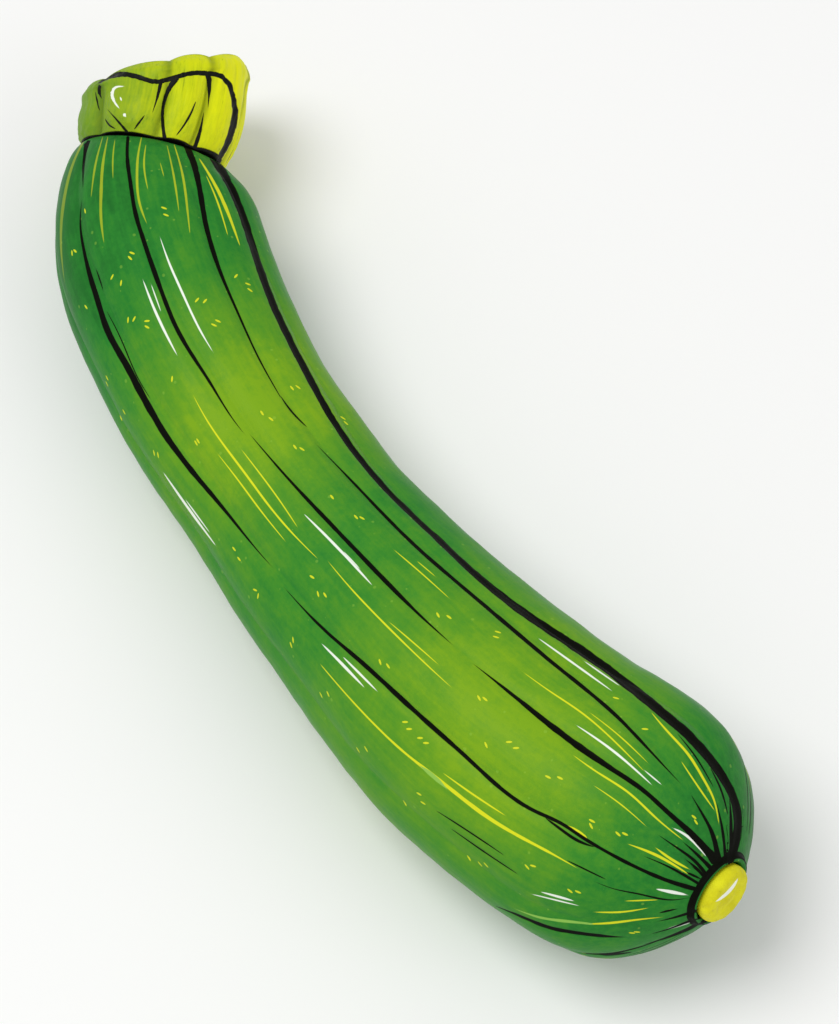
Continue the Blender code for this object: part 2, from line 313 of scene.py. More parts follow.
# How marks are laid on a surface, and how many of a kind may lie near one point. Room is how far off a mark
# keeps others out of its layer: for a stroke, so many of its half widths and so much more.
STROKE_STEP_PIXELS = 2.5
STROKE_FEWEST_POINTS = 5
STROKE_TAPER_POWER = 0.55
STROKE_RUN = 12
STROKE_REACH = 3.2
STROKE_ROOM = (3.0, 0.5)
STROKE_SPACING = 0.3
STROKE_SOFTNESS = 0.08
STROKE_CAP = 0.3
DASH_ROOM = 2.2
DASH_SHOWS_TO = 1.0
DASH_SHARPNESS = 3.0
MARK_FADE = 0.3
NOWHERE = 9.0
LAYERS = {"dark": 4, "yellow": 3, "white": 2, "pale": 1, "dash": 3}
GROOVE_DEPTH = 0.28
GROOVE_HALF_WIDTH = 0.9
FULL_GROOVE_STROKE = 0.45

# What the picture doesn't show, on the side that faces away from its camera, is drawn by chance.
HIDDEN_SEED = 11
HIDDEN_STEP = 0.6
HIDDEN_FEWEST_POINTS = 6
HIDDEN_ANGLES = (62.0, 262.0)
HIDDEN_VALLEYS = (4, 5, 6, 7, 8, 9)
VALLEY_STROKE_ENDS = (3.0, 189.0)
VALLEY_STROKE_POINTS = 60
VALLEY_STROKE_SWAY = 1.2
VALLEY_STROKE_WIDTHS = (0.75, 1.1)
VALLEY_GAP_COUNTS = (1, 3)
VALLEY_GAPS_ALONG = (25.0, 165.0)
VALLEY_GAP_HALF = 2.5
# Short strokes: how many, 1 if they run from the stem or -1 if towards it, and the ranges of their starts
# along the axis, their lengths and their widths.
SHORT_STROKES = {
    "dark": ((22, -1, (189.0, 190.0), (6.0, 16.0), (0.25, 0.7)),),
    "yellow": (
        (16, 1, (1.5, 3.5), (8.0, 20.0), (0.3, 0.7)),
        (12, -1, (182.0, 186.0), (10.0, 28.0), (0.3, 0.6)),
        (9, 1, (40.0, 130.0), (14.0, 38.0), (0.3, 0.6)),
    ),
    # These short strokes on the far side are painted highlights.
    "white": ((7, 1, (25.0, 165.0), (8.0, 15.0), (0.3, 0.45)),),
    "pale": (),
}
SHORT_STROKE_SWAY = 3.0
SHORT_STROKE_PLACES = (0.1, 0.9)
HIDDEN_DASH_PAIRS = 62
HIDDEN_DASH_TRIES = 372
HIDDEN_DASHES_ALONG = (8.0, 180.0)
HIDDEN_DASH_TILTS = (-40.0, 25.0)
HIDDEN_DASH_ROOM = 9.0
DASH_PAIR_GAP = 1.9
DASH_PAIR_SHIFT = 0.5
# Lines up the stem's hidden side, each so far round from a crease, and the range of its length.
HIDDEN_STEM_SEED = 4
HIDDEN_STEM_LINES = ((0.0, (9.0, 13.0)), (11.0, (2.5, 6.0)), (24.0, (3.0, 7.0)), (38.0, (2.5, 6.0)))
HIDDEN_STEM_STARTS = (-3.0, -1.0)
CREASE_LINE_START = -0.8
HIDDEN_STEM_WIDTHS = (0.3, 0.6)
SAME_COLUMN = 0.01

# Patches of lighter or darker green: a pixel, then the half length, half width and strength. The two strong
# light ones are partly the skin's own mottling and partly painted light where it faces the camera. The two
# faint light ones are painted light on the right-hand side as the camera sees it. The two dark ones are
# painted shade at the neck's left edge and at the far end of the dome.
SEEN_PATCHES = (
    ((245, 410), 25.0, 27.0, 0.8),
    ((300, 325), 22.0, 8.0, 0.2),
    ((580, 635), 26.0, 8.0, 0.2),
    ((505, 728), 32.0, 27.0, 0.8),
    ((60, 240), 34.0, 14.0, -0.2),
    ((735, 830), 16.0, 50.0, -0.25),
)
# The same on the other side, each at its distance along the axis and its angle.
HIDDEN_PATCHES = ((70.0, 165.0, 25.0, 24.0, 0.65), (128.0, 200.0, 28.0, 26.0, 0.7))
PLAIN_TONE = 0.2

# How strongly the yellow streaks show by the stem, at these angles. Further along they all show fully.
STREAK_ANGLES = (-62.0, -30.0, -5.0, 16.0, 32.0)
STREAK_STRENGTHS = (0.25, 0.42, 0.52, 0.52, 0.9)
FULL_STREAK_STRENGTH = 0.95
STREAKS_FAINT_TO = 25.0
STREAKS_FULL_FROM = 45.0

# The dark band round the stem's foot, partly a drawn line and partly painted shade where the stem sits in
# its dish, and the dark ring round the scar.
SEAM_SHADE_HALF = 0.3
SEAM_SHADE_MORE_RIGHT = 0.45
SEAM_SHADE_MORE_LEFT = 0.15
DISH_END = 3.0
RING_RADIUS = 7.1
RING_HALF = 0.5
RING_FROM = 188.0


def natural_spline(at, points):
    """A natural cubic curve through the points, one at each number of at, as a function of an array."""
    at = np.asarray(at, float)
    points = np.asarray(points, float)
    gap = np.diff(at)
    left = np.eye(len(at))
    right = np.zeros_like(points)
    for i in range(1, len(at) - 1):
        left[i, i - 1 : i + 2] = gap[i - 1], 2 * (gap[i - 1] + gap[i]), gap[i]
    right[1:-1] = 6 * np.diff(np.diff(points, axis=0) / gap[:, None], axis=0)
    bend = np.linalg.solve(left, right)

    def value(x):
        i = np.clip(np.searchsorted(at, x, side="right") - 1, 0, len(at) - 2)
        h = gap[i][..., None]
        b = (x - at[i])[..., None] / h
        a = 1 - b
        curved = (a**3 - a) * bend[i] + (b**3 - b) * bend[i + 1]
        return a * points[i] + b * points[i + 1] + curved * h**2 / 6

    return value


def chord_lengths(points):
    """How far along the straight lines between them each point lies."""
    steps = np.linalg.norm(np.diff(points, axis=0), axis=1)
    return np.append(0.0, np.cumsum(steps))


def unit(vectors):
    return vectors / np.linalg.norm(vectors, axis=-1, keepdims=True)


def curved_outline(stations, step):
    """Points a step apart on the smooth curve through the stations."""
    at = chord_lengths(stations)
    return natural_spline(at, stations)(np.linspace(0.0, at[-1], round(at[-1] / step) + 1))


def straight_outline(stations, step):
    """The stations, with points about a step apart on the straight lines between them."""
    stations = np.asarray(stations, float)
    rows = [stations[:1]]
    for start, end in zip(stations[:-1], stations[1:]):
        count = max(1, round(float(np.linalg.norm(end - start)) / step))
        rows.append(np.linspace(start, end, count + 1)[1:])
    return np.concatenate(rows)


AXIS_AT = chord_lengths(AXIS_STATIONS)
AXIS_LENGTH = AXIS_AT[-1]
axis_curve = natural_spline(AXIS_AT, AXIS_STATIONS)
valley_curve = natural_spline(np.linspace(0.0, 1.0, len(VALLEY_COURSES[0])), np.transpose(VALLEY_COURSES))


def axis_frame(along):
    """The axis points at these distances, and the sideways and upward directions there."""
    inside = np.clip(along, 0.0, AXIS_LENGTH)
    ahead = axis_curve(np.minimum(inside + AXIS_LOOK, AXIS_LENGTH))
    behind = axis_curve(np.maximum(inside - AXIS_LOOK, 0.0))
    tangent = unit(ahead - behind)
    side = unit(np.cross((0.0, 0.0, 1.0), tangent))
    return axis_curve(inside) + tangent * (along - inside)[..., None], side, np.cross(tangent, side)


def body_points(along, radius, degrees):
    """The places of the points at these distances, radii and angles, and the directions outward there."""
    along, radius, degrees = np.broadcast_arrays(along, radius, degrees)
    sine = np.sin(np.radians(degrees))
    cosine = np.cos(np.radians(degrees))
    seat, cut = (across * sine + upward * cosine for across, upward in (SEAT_SLANT, CUT_SLANT))
    height = np.clip(-along / STEM_LENGTH, 0.0, 1.0)
    slant = seat * np.clip(1 - along / SEAT_SLANT_REACH, 0.0, 1.0) ** 2 + (cut - seat) * height
    centre, side, up = axis_frame(along + slant * np.minimum(1.0, radius / SLANTED_RADIUS))
    lean = STEM_LEAN * height * (2 - height)
    outward = side * sine[..., None] + up * cosine[..., None]
    return centre + side * lean[..., None] + outward * radius[..., None], outward


def valley_angles(along):
    """The angles of all the valleys at these distances, rising, with the first repeated a turn on."""
    share = np.clip(along / AXIS_LENGTH, 0.0, 1.0)
    own = valley_curve(share)
    first, last = own[:, :1] + FULL_TURN, own[:, -1:]
    step = np.arange(OTHER_VALLEYS)
    sway = OTHER_VALLEYS_SWAY * np.sin(math.tau * (share[:, None] + step / 3))
    others = last + (first - last) / (OTHER_VALLEYS + 1) * (step + 1) + sway
    return np.concatenate([own, others, first], axis=-1)


def in_lobes(edges, per_lobe):
    """Each column's angle in each ring, and its place across its lobe from 0 to 1."""
    lobe, column = np.divmod(np.arange((edges.shape[-1] - 1) * per_lobe), per_lobe)
    step = column / per_lobe
    across = step - CROWDING * np.sin(math.tau * step) / math.tau
    width = edges[:, lobe + 1] - edges[:, lobe]
    return edges[:, lobe] + across * width, across[None, :]


def crown(across):
    """0 in the valleys at both edges of a lobe and 1 on its crown."""
    return 1 - np.abs(2 * across - 1) ** RIB_CROWN_POWER


def rib_dip(along, edges, across):
    """How far the skin lies below the crowns of the ribs. A valley is shallower where they are narrow."""
    widths = np.diff(edges, axis=-1)
    between = (np.roll(widths, 1, axis=-1) + widths) / 2
    nearest_valley = np.round(np.arange(across.size) / COLUMNS_PER_RIB).astype(int) % widths.shape[-1]
    depth = RIB_HEIGHT * np.minimum(1.0, between[:, nearest_valley] / RIB_WIDTH_AT_FULL_HEIGHT)
    fade = np.minimum(along / RIB_FADE_AT_STEM, (AXIS_LENGTH - along) / RIB_FADE_AT_SCAR)
    return depth * np.clip(fade, 0.0, 1.0) * (1 - crown(across))


def waves(points, length, height, count, seed):
    """Smooth irregular waves at each point, of about this length and height."""
    chance = np.random.default_rng(seed)
    directions = unit(chance.normal(size=(count, 3)))
    lengths = length * chance.uniform(*WAVE_LENGTH_SHARES, count)
    starts = chance.uniform(0.0, math.tau, count)
    turns = points @ (directions / lengths[:, None]).T * math.tau + starts
    return height * np.sin(turns).sum(axis=-1) / math.sqrt(count)


def one_point_ends(grid):
    """A grid's values in the order of its mesh's vertices: the first and last rings are each one point."""
    return np.concatenate([grid[0, :1], *grid[1:-1], grid[-1, :1]])


def closed_faces(rings, columns):
    """The faces of a closed form whose vertices come from one_point_ends."""
    last = (rings - 2) * columns + 1
    faces = []
    for j in range(columns):
        after = (j + 1) % columns
        faces.append((0, 1 + j, 1 + after))
        for row in range(1, last - columns, columns):
            faces.append((row + j, row + columns + j, row + columns + after, row + after))
        faces.append((last - columns + after, last - columns + j, last))
    return faces


def added(name, data):
    """A new object in the scene."""
    made = bpy.data.objects.new(name, data)
    bpy.context.scene.collection.objects.link(made)
    return made


class Form:
    """A closed form as it is built: its vertices in mm, their places on the fruit, and its faces."""

    def __init__(self, along, radius, degrees):
        radius[[0, -1]] = 0.0
        places, outward = body_points(along, radius, degrees)
        grids = np.broadcast_arrays(along, radius, degrees)
        self.along, self.radius, self.degrees = map(one_point_ends, grids)
        self.points = one_point_ends(places)
        self.outward = one_point_ends(outward)
        self.faces = closed_faces(*places.shape[:2])
        # Each point's place if the fruit were straight, with its axis along X.
        angle = np.radians(self.degrees)
        course = (self.along, self.radius * np.sin(angle), self.radius * np.cos(angle))
        self.fields = {"course": np.stack(course, axis=1)}

    def swell(self, height):
        """Moves each point outward by its height."""
        self.points += self.outward * height[:, None]

    def surface(self):
        """The form as something that rays can be cast at."""
        return BVHTree.FromPolygons((self.points * MM).tolist(), self.faces)

    def piece(self, name, node, slot, material):
        """The finished mesh, which stands for a node of the frame."""
        mesh = bpy.data.meshes.new(name)
        self.points[:, 2] = np.maximum(self.points[:, 2], 0.0)
        mesh.from_pydata((self.points * MM).tolist(), [], self.faces)
        mesh.shade_smooth()
        for label, values in self.fields.items():
            kind, key = ("FLOAT_VECTOR", "vector") if values.ndim == 2 else ("FLOAT", "value")
            field = mesh.attributes.new(label, kind, "POINT")
            field.data.foreach_set(key, values.astype(np.float32).ravel())
        mesh.materials.append(material)
        piece = added(name, mesh)
        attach(piece, "root")
        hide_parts(node)


class Picture:
    """The picture's camera, which turns a pixel into a ray."""

    def __init__(self):
        level = np.array((math.sin(CAMERA_AZIMUTH), -math.cos(CAMERA_AZIMUTH), 0.0))
        self.right = np.array((math.cos(CAMERA_AZIMUTH), math.sin(CAMERA_AZIMUTH), 0.0))
        self.back = level * math.cos(CAMERA_ELEVATION) + (0.0, 0.0, math.sin(CAMERA_ELEVATION))
        self.up = np.cross(self.back, self.right)
        self.eye = TARGET + self.back * CAMERA_DISTANCE - self.in_plane(TARGET_PIXEL)

    def in_plane(self, pixel):
        """How far a pixel lies from the picture's middle, in the plane through the target."""
        across, down = (pixel - PICTURE_SIZE / 2) * MM_PER_PIXEL
        return self.right * across - self.up * down

    def look(self):
        """Makes the camera."""
        data = bpy.data.cameras.new("camera")
        data.sensor_width = SENSOR
        data.lens = SENSOR * CAMERA_DISTANCE / (MM_PER_PIXEL * PICTURE_SIZE[1])
        data.clip_start, data.clip_end = CLIP_METRES
        camera = added("camera", data)
        turn = Matrix((self.right, self.up, self.back)).transposed()
        camera.matrix_world = Matrix.Translation(Vector(self.eye * MM)) @ turn.to_4x4()
        bpy.context.scene.camera = camera

    def hit(self, surface, pixel):
        """Where the ray through a pixel meets a surface, and the surface's direction there."""
        ray = unit(self.in_plane(pixel) - self.back * CAMERA_DISTANCE)
        place, normal, _, _ = surface.ray_cast(Vector(self.eye * MM), Vector(ray))
        return None if place is None else (np.array(place) / MM, np.array(normal))


def tapered(count):
    """A stroke's width at evenly spaced points, from 0 at its ends to 1 at its middle."""
    return np.sin(np.linspace(0.0, math.pi, count)) ** STROKE_TAPER_POWER


def resampled(values, count):
    """So many evenly spaced values on the straight lines through these."""
    return np.interp(np.linspace(0.0, len(values) - 1, count), np.arange(len(values)), values)


def evened(values, reach=3):
    """Each value's mean with its neighbours."""
    padded = np.pad(values, reach, mode="reflect", reflect_type="odd")
    return np.convolve(padded, np.full(2 * reach + 1, 1 / (2 * reach + 1)), mode="valid")


def ribbon(points, toward_eye, halves):
    """A stroke: its points, its half widths, and the direction across it as it is looked at.

    Its width runs out over a short way past each end.
    """
    tangents = unit(np.gradient(points, axis=0))
    across = unit(np.cross(toward_eye, tangents))
    before = points[:1] - tangents[:1] * STROKE_CAP
    after = points[-1:] + tangents[-1:] * STROKE_CAP
    points = np.concatenate([before, points, after])
    return points, np.pad(halves, 1), np.pad(across, ((1, 1), (0, 0)), mode="edge")


def drawn_stroke(picture, surface, width, *pixels):
    """A stroke of the picture, laid on the surface. Its parts that miss the surface are dropped.

    Its distance from the camera is evened out, so that it crosses a crease without a jump.
    """
    at = chord_lengths(pixels)
    count = max(STROKE_FEWEST_POINTS, round(at[-1] / STROKE_STEP_PIXELS))
    seen = natural_spline(at, pixels)(np.linspace(0.0, at[-1], count))
    hits = [picture.hit(surface, pixel) for pixel in seen]
    kept = [i for i, hit in enumerate(hits) if hit]
    if len(kept) < STROKE_FEWEST_POINTS:
        return None
    widths = resampled(width, count) if isinstance(width, tuple) else width * tapered(count)
    from_eye = np.array([hits[i][0] for i in kept]) - picture.eye
    distance = evened(np.linalg.norm(from_eye, axis=1))
    points = picture.eye + unit(from_eye) * distance[:, None]
    return ribbon(points, -unit(from_eye), widths[kept] * MM_PER_PIXEL / 2)


def near_box(points, path):
    """Which points lie within reach of the path's box."""
    low = path.min(axis=0) - STROKE_REACH
    high = path.max(axis=0) + STROKE_REACH
    return np.nonzero(np.all((points > low) & (points < high), axis=1))[0]


def nearest_on(points, path, halves, across):
    """How far across the stroke each point lies, the stroke's half width there, and how far off it is."""
    found = np.full((len(points), 3), np.inf)
    for i in range(len(path) - 1):
        span = path[i + 1] - path[i]
        share = np.clip((points - path[i]) @ span / (span @ span), 0.0, 1.0)
        offset = points - path[i] - share[:, None] * span
        off = np.linalg.norm(offset, axis=1)
        half = halves[i] + share * (halves[i + 1] - halves[i])
        closer = off < found[:, 2]
        found[closer] = np.stack([offset @ across[i], half, off], axis=1)[closer]
    return found


def stroke_values(points, path, halves, across):
    """The points within reach of a stroke, and its values at them, found a short run at a time."""
    found = np.full((len(points), 3), STROKE_REACH)
    for start in range(0, len(path) - 1, STROKE_RUN):
        run = slice(start, start + STROKE_RUN + 1)
        near = near_box(points, path[run])
        values = nearest_on(points[near], path[run], halves[run], across[run])
        closer = values[:, 2] < found[near, 2]
        found[near[closer]] = values[closer]
    near = np.nonzero(found[:, 2] < STROKE_REACH)[0]
    return near, found[near]


def dash_values(points, place, lengthwise, crosswise):
    """The points within reach of a dash, and how far along, across and away from it they lie."""
    near = near_box(points, place[None, :])
    offset = points[near] - place
    values = np.stack([offset @ lengthwise, offset @ crosswise, np.linalg.norm(offset, axis=1)], axis=1)
    close = values[:, 2] < STROKE_REACH
    return near[close], values[close]


def lay_marks(form, name, marks, room):
    """Adds marks as the form's fields name_0, name_1 and so on, from their near points and values there.

    A mark goes into the first field where no other one is within its room, or else into the last.
    """
    fields = [np.tile((NOWHERE, -1.0, NOWHERE), (len(form.points), 1)) for _ in range(LAYERS[name])]
    for near, values in marks:
        for field in fields:
            crowded = (values[:, 2] < room(values)) & (field[near, 2] < room(field[near]))
            if not crowded.any():
                break
        closer = values[:, 2] < field[near, 2]
        field[near[closer]] = values[closer]
    for i, field in enumerate(fields):
        form.fields[f"{name}_{i}"] = field


def lay_strokes(form, name, strokes):
    """Adds the strokes that aren't None as the form's fields."""

    def room(values):
        return values[:, 1] * STROKE_ROOM[0] + STROKE_ROOM[1] + STROKE_SPACING

    lay_marks(form, name, (stroke_values(form.points, *stroke) for stroke in strokes if stroke), room)


def facing_away(picture, outward):
    return outward @ picture.back < 0.0


def longest_run(kept):
    """The indices of the longest run of true values."""
    runs = np.split(np.arange(len(kept)), np.flatnonzero(np.diff(kept)) + 1)
    return max((run for run in runs if kept[run[0]]), key=len, default=runs[0][:0])


def skin_radius(along):
    """The radius of the ribs' crowns at these distances."""
    return np.interp(along, *np.transpose(SKIN_OUTLINE))


def hidden_stroke(picture, width, along, degrees):
    """A stroke on the side away from the camera, or None if too little of it is there."""
    count = max(HIDDEN_FEWEST_POINTS, round(float(np.ptp(along)) / HIDDEN_STEP))
    along = resampled(along, count)
    points, outward = body_points(along, skin_radius(along) - RIB_HEIGHT / 2, resampled(degrees, count))
    run = longest_run(facing_away(picture, outward))
    if len(run) < HIDDEN_FEWEST_POINTS:
        return None
    return ribbon(points[run], outward[run], tapered(len(run)) * width / 2)


def hidden_valley_strokes(picture, chance):
    """Dark stripes in the valleys that the picture doesn't show, each broken in one or two places."""
    for valley in HIDDEN_VALLEYS:
        gaps = np.sort(chance.uniform(*VALLEY_GAPS_ALONG, chance.integers(*VALLEY_GAP_COUNTS)))
        starts = [VALLEY_STROKE_ENDS[0], *(gaps + VALLEY_GAP_HALF)]
        stops = [*(gaps - VALLEY_GAP_HALF), VALLEY_STROKE_ENDS[1]]
        for start, stop in zip(starts, stops):
            along = np.linspace(start, stop, VALLEY_STROKE_POINTS)
            sway = chance.uniform(-VALLEY_STROKE_SWAY, VALLEY_STROKE_SWAY)
            degrees = valley_angles(along)[:, valley] + sway
            yield hidden_stroke(picture, chance.uniform(*VALLEY_STROKE_WIDTHS), along, degrees)


def hidden_short_strokes(picture, chance, count, way, starts, lengths, widths):
    """Short strokes lengthwise on the side that the picture doesn't show."""
    for i in range(count):
        place = (i + chance.uniform(*SHORT_STROKE_PLACES)) / count
        angle = HIDDEN_ANGLES[0] + place * np.ptp(HIDDEN_ANGLES)
        start = chance.uniform(*starts)
        along = np.sort([start, start + chance.uniform(*lengths) * way])
        width = chance.uniform(*widths)
        sway = chance.uniform(-SHORT_STROKE_SWAY, SHORT_STROKE_SWAY)
        yield hidden_stroke(picture, width, along, (angle, angle + sway))


def turned(first, second, degrees):
    """The first direction, turned so far towards the second."""
    angle = math.radians(degrees)
    return first * math.cos(angle) + second * math.sin(angle)


def hidden_dashes(picture, chance):
    """Pairs of small dashes scattered over the side that the picture doesn't show."""
    taken = []
    for _ in range(HIDDEN_DASH_TRIES):
        along = chance.uniform(*HIDDEN_DASHES_ALONG)
        degrees = chance.uniform(*HIDDEN_ANGLES)
        tilt = chance.uniform(*HIDDEN_DASH_TILTS)
        point, outward = body_points(along, skin_radius(along), degrees)
        crowded = any(np.linalg.norm(point - other) < HIDDEN_DASH_ROOM for other in taken)
        if crowded or not facing_away(picture, outward) or len(taken) == HIDDEN_DASH_PAIRS:
            continue
        taken.append(point)
        ahead = body_points(along + 1.0, skin_radius(along + 1.0), degrees)[0]
        straight = unit(ahead - point)
        lengthwise = turned(straight, np.cross(outward, straight), tilt)
        crosswise = np.cross(outward, lengthwise)
        shift = chance.uniform(-DASH_PAIR_SHIFT, DASH_PAIR_SHIFT)
        apart = crosswise * DASH_PAIR_GAP / 2 + lengthwise * shift
        yield point + apart, lengthwise, crosswise
        yield point - apart, lengthwise, crosswise


def drawn_dashes(picture, surface):
    """The picture's dashes, laid on the surface."""
    for middles, slope in DASH_SLOPES:
        seen = turned(picture.right, picture.up, slope)
        for pixel in middles:
            hit = picture.hit(surface, pixel)
            if hit:
                place, normal = hit
                lengthwise = unit(seen - normal * (seen @ normal))
                yield place, lengthwise, np.cross(normal, lengthwise)


def either_side(degrees):
    """The same angles from -180 to 180."""
    return (degrees + FULL_TURN / 2) % FULL_TURN - FULL_TURN / 2


def skin_tone(form, picture, surface):
    """How light the green is over the skin, from 0 to 1. A patch falls off smoothly round its middle."""
    patches = [*HIDDEN_PATCHES]
    for pixel, *sizes in SEEN_PATCHES:
        place = picture.hit(surface, pixel)[0]
        nearest = np.argmin(np.linalg.norm(form.points - place, axis=1))
        patches.append((form.along[nearest], form.degrees[nearest], *sizes))
    # Lighter and darker patches, partly painted light and painted shade.
    tone = PLAIN_TONE
    for along, degrees, half_length, half_width, strength in patches:
        aside = np.radians(either_side(form.degrees - degrees)) * np.maximum(form.radius, 1.0)
        reach = ((form.along - along) / half_length) ** 2 + (aside / half_width) ** 2
        tone = tone + strength * np.exp(-reach)
    return np.clip(tone, 0.0, 1.0)


def streak_strength(form):
    """How strongly the yellow streaks show at each point."""
    strength = np.interp(either_side(form.degrees), STREAK_ANGLES, STREAK_STRENGTHS)
    further = (form.along - STREAKS_FAINT_TO) / (STREAKS_FULL_FROM - STREAKS_FAINT_TO)
    return strength + (FULL_STREAK_STRENGTH - strength) * np.clip(further, 0.0, 1.0)


def seam_shade_half(degrees):
    """How far the painted shade and drawn line round the stem's foot reach, widest on its +Y side."""
    sine = np.sin(np.radians(degrees))
    return SEAM_SHADE_HALF + np.where(sine > 0, SEAM_SHADE_MORE_RIGHT, SEAM_SHADE_MORE_LEFT) * sine**2


def groove(form):
    """Presses a shallow groove into the form along its dark strokes."""
    depth = 0.0
    for i in range(LAYERS["dark"]):
        _, half, off = form.fields[f"dark_{i}"].T
        strength = np.clip(half / FULL_GROOVE_STROKE, 0.0, 1.0)
        depth = np.maximum(depth, GROOVE_DEPTH * strength * np.exp(-((off / GROOVE_HALF_WIDTH) ** 2)))
    form.swell(-depth)


def fruit_form():
    """The fruit's fine form: the dish, the ribbed skin with its slight unevenness, and the socket."""
    dish = straight_outline(DISH_OUTLINE, RING_STEP)
    skin = curved_outline(SKIN_OUTLINE, RING_STEP)
    socket = straight_outline(SOCKET_OUTLINE, RING_STEP / 2)
    rings = np.concatenate([dish[:-1], skin, socket[1:]])
    along = rings[:, :1]
    valleys = valley_angles(rings[:, 0])
    degrees, across = in_lobes(valleys, COLUMNS_PER_RIB)
    form = Form(along, rings[:, 1:] - rib_dip(along, valleys, across), degrees)
    uneven = waves(form.points, *BROAD_WAVES) + waves(form.points, *SMALL_WAVES)
    ends = np.minimum(form.along, AXIS_LENGTH - form.along)
    form.swell(uneven * np.clip(ends / WAVES_FADE, 0.0, 1.0))
    return form


def make_fruit(picture):
    """The fruit, with the fields that its finish is painted by."""
    form = fruit_form()
    surface = form.surface()
    chance = np.random.default_rng(HIDDEN_SEED)
    seen = {"dark": DARK_STROKES, "yellow": YELLOW_STROKES, "white": HIGHLIGHT_STROKES, "pale": PALE_STROKES}
    for name, strokes in seen.items():
        laid = [drawn_stroke(picture, surface, *stroke) for stroke in strokes]
        if name == "dark":
            laid += hidden_valley_strokes(picture, chance)
        for group in SHORT_STROKES[name]:
            laid += hidden_short_strokes(picture, chance, *group)
        lay_strokes(form, name, laid)
    dashes = [*drawn_dashes(picture, surface), *hidden_dashes(picture, chance)]
    marks = (dash_values(form.points, *dash) for dash in dashes)
    lay_marks(form, "dash", marks, lambda values: DASH_ROOM)
    form.fields["tone"] = skin_tone(form, picture, surface)
    form.fields["streak_strength"] = streak_strength(form)
    # Painted shade: the dish under the stem is dark all over, and so is a band round the stem's foot.
    in_dish = (form.along < DISH_END) & (form.radius < SKIN_OUTLINE[0][1])
    form.fields["seam_shade"] = np.where(in_dish, 1.0, seam_shade_half(form.degrees) - form.along)
    ring = RING_HALF - np.abs(form.radius - RING_RADIUS)
    form.fields["ring"] = np.where(form.along > RING_FROM, ring, -1.0)
    groove(form)
    form.piece("zucchini_skin", "fruit", "skin", skin_finish())


def stem_form():
    """The stem's fine form: its root, the bulging lobes with creases between them, and the cut end."""
    cut = straight_outline(CUT_FACE_OUTLINE, STEM_RING_STEP)
    outside = curved_outline(STEM_OUTLINE, STEM_RING_STEP)
    root = straight_outline(STEM_ROOT_OUTLINE, STEM_RING_STEP * 2)
    rings = np.concatenate([cut[:0:-1], outside[::-1], root[1:]])
    along = rings[:, :1]
    edges = np.tile((*STEM_CREASES, STEM_CREASES[0] + FULL_TURN), (len(rings), 1))
    degrees, across = in_lobes(edges, STEM_COLUMNS_PER_LOBE)
    height = np.clip(-along / STEM_LENGTH, 0.0, 1.0)
    lobed = np.sqrt(np.sin(math.pi * np.minimum(1.0, height + STEM_CREASE_AT_BASE)))
    lobed = np.where(along > STEM_OUTLINE[0][0], 0.0, lobed)
    reach = np.minimum(1.0, rings[:, 1:] / STEM_OUTLINE[-1][1])
    crease = STEM_CREASE_DEPTH * lobed * (1 - crown(across)) * reach**2
    scallop = STEM_SCALLOP * height**3 * (crown(across) - 0.5) * reach**2
    form = Form(along - scallop, rings[:, 1:] - crease, degrees)
    form.fields["crease"] = one_point_ends((1 - crown(across)) * reach)
    is_cut = np.broadcast_to(np.arange(len(rings))[:, None] < len(cut), degrees.shape)
    form.fields["cut"] = one_point_ends(is_cut).astype(float)
    return form


def hidden_stem_strokes(form, picture, chance):
    """Dark lines up the stem's far side: a long one in each crease, and shorter ones beside it."""
    on_side = (form.fields["cut"] < 0.5) & facing_away(picture, form.outward)
    for crease in STEM_CREASES:
        for aside, lengths in HIDDEN_STEM_LINES:
            start = chance.uniform(*HIDDEN_STEM_STARTS) if aside else CREASE_LINE_START
            stop = start - chance.uniform(*lengths)
            off_line = np.abs(form.degrees - crease - aside)
            nearest_column = off_line < off_line.min() + SAME_COLUMN
            line = np.nonzero(nearest_column & on_side & (form.along < start) & (form.along > stop))[0]
            if len(line) >= HIDDEN_FEWEST_POINTS:
                halves = tapered(len(line)) * chance.uniform(*HIDDEN_STEM_WIDTHS) / 2
                yield ribbon(form.points[line], form.outward[line], halves)


def make_stem(picture):
    """The stem, with fine ridges along it and the fields that its finish is painted by."""
    form = stem_form()
    surface = form.surface()
    # Painted light: the stem's green runs from dark on the camera's left to bright yellow on its right, as
    # if lit from the right.
    aside = form.points @ picture.right
    form.fields["tone"] = (aside - aside.min()) / np.ptp(aside)
    # Painted shade: a dark band round the stem's foot, where it sits in the dish.
    form.fields["seam_shade"] = seam_shade_half(form.degrees) + form.along - STEM_OUTLINE[0][0]
    dark = [drawn_stroke(picture, surface, *stroke) for stroke in STEM_DARK_STROKES]
    dark += hidden_stem_strokes(form, picture, np.random.default_rng(HIDDEN_STEM_SEED))
    lay_strokes(form, "dark", dark)
    lay_strokes(form, "white", [drawn_stroke(picture, surface, *stroke) for stroke in STEM_HIGHLIGHT_STROKES])
    stretched = form.fields["course"] / (STEM_STRETCH, 1.0, 1.0)
    uneven = waves(stretched, *STEM_RIDGES) + waves(stretched, *STEM_FINE_RIDGES)
    uneven += waves(form.points, *STEM_WAVES)
    outside = np.clip((-form.along - STEM_WAVES_FROM) / STEM_WAVES_FADE, 0.0, 1.0)
    form.swell(uneven * outside * (1 - form.fields["cut"]))
    groove(form)
    form.piece("zucchini_stem", "stem", "stem", stem_finish())


